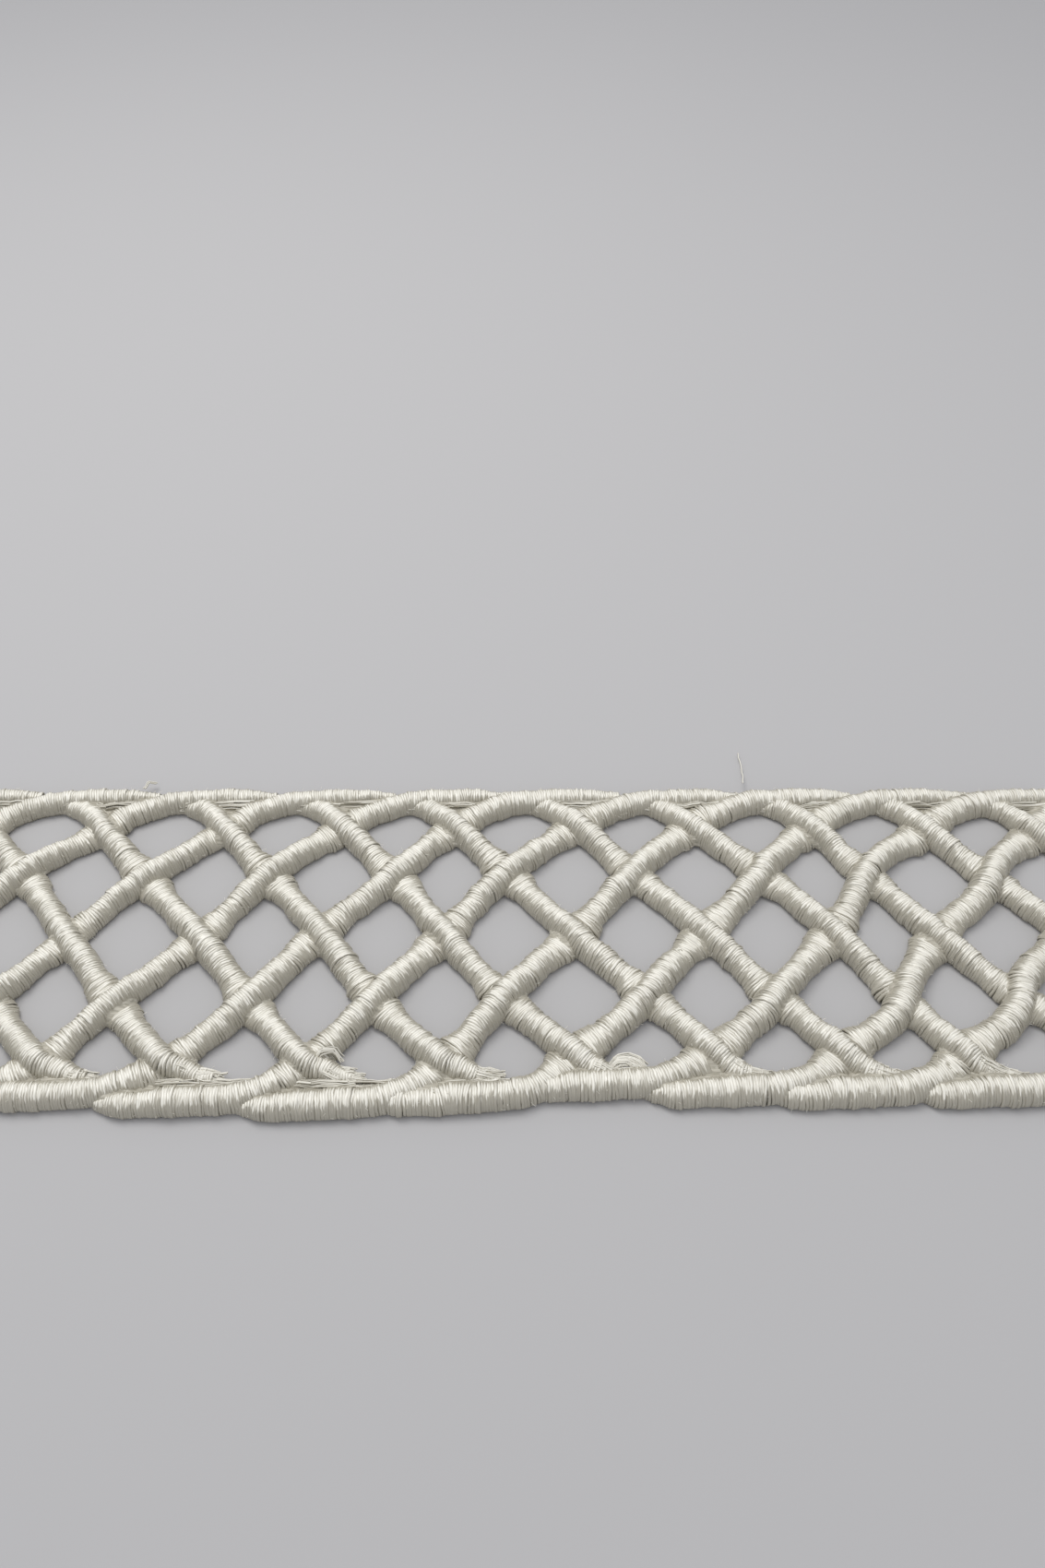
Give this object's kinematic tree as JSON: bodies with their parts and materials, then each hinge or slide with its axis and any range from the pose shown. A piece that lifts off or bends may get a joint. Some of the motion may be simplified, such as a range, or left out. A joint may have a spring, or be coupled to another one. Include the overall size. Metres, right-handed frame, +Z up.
{
  "type": "macrame lace trim",
  "caption": "Flat openwork trim: ivory satin-stitched cords cross over and under in a diagonal lattice between two corded edges, cut to a short length.",
  "frame": {"origin": "middle of the underside's bounding box, on the surface that the trim lies on", "axes": "+X along the length, +Y across the width towards the upper edge, +Z up out of the face"},
  "size_m": [0.12, 0.0412, 0.0026],
  "materials": {
    "ivory_thread": "silky ivory rayon thread, satin-stitched side by side over a padded core"
  },
  "bodies": {
    "root": {"lace_trim": "ivory_thread"}
  },
  "joints": []
}
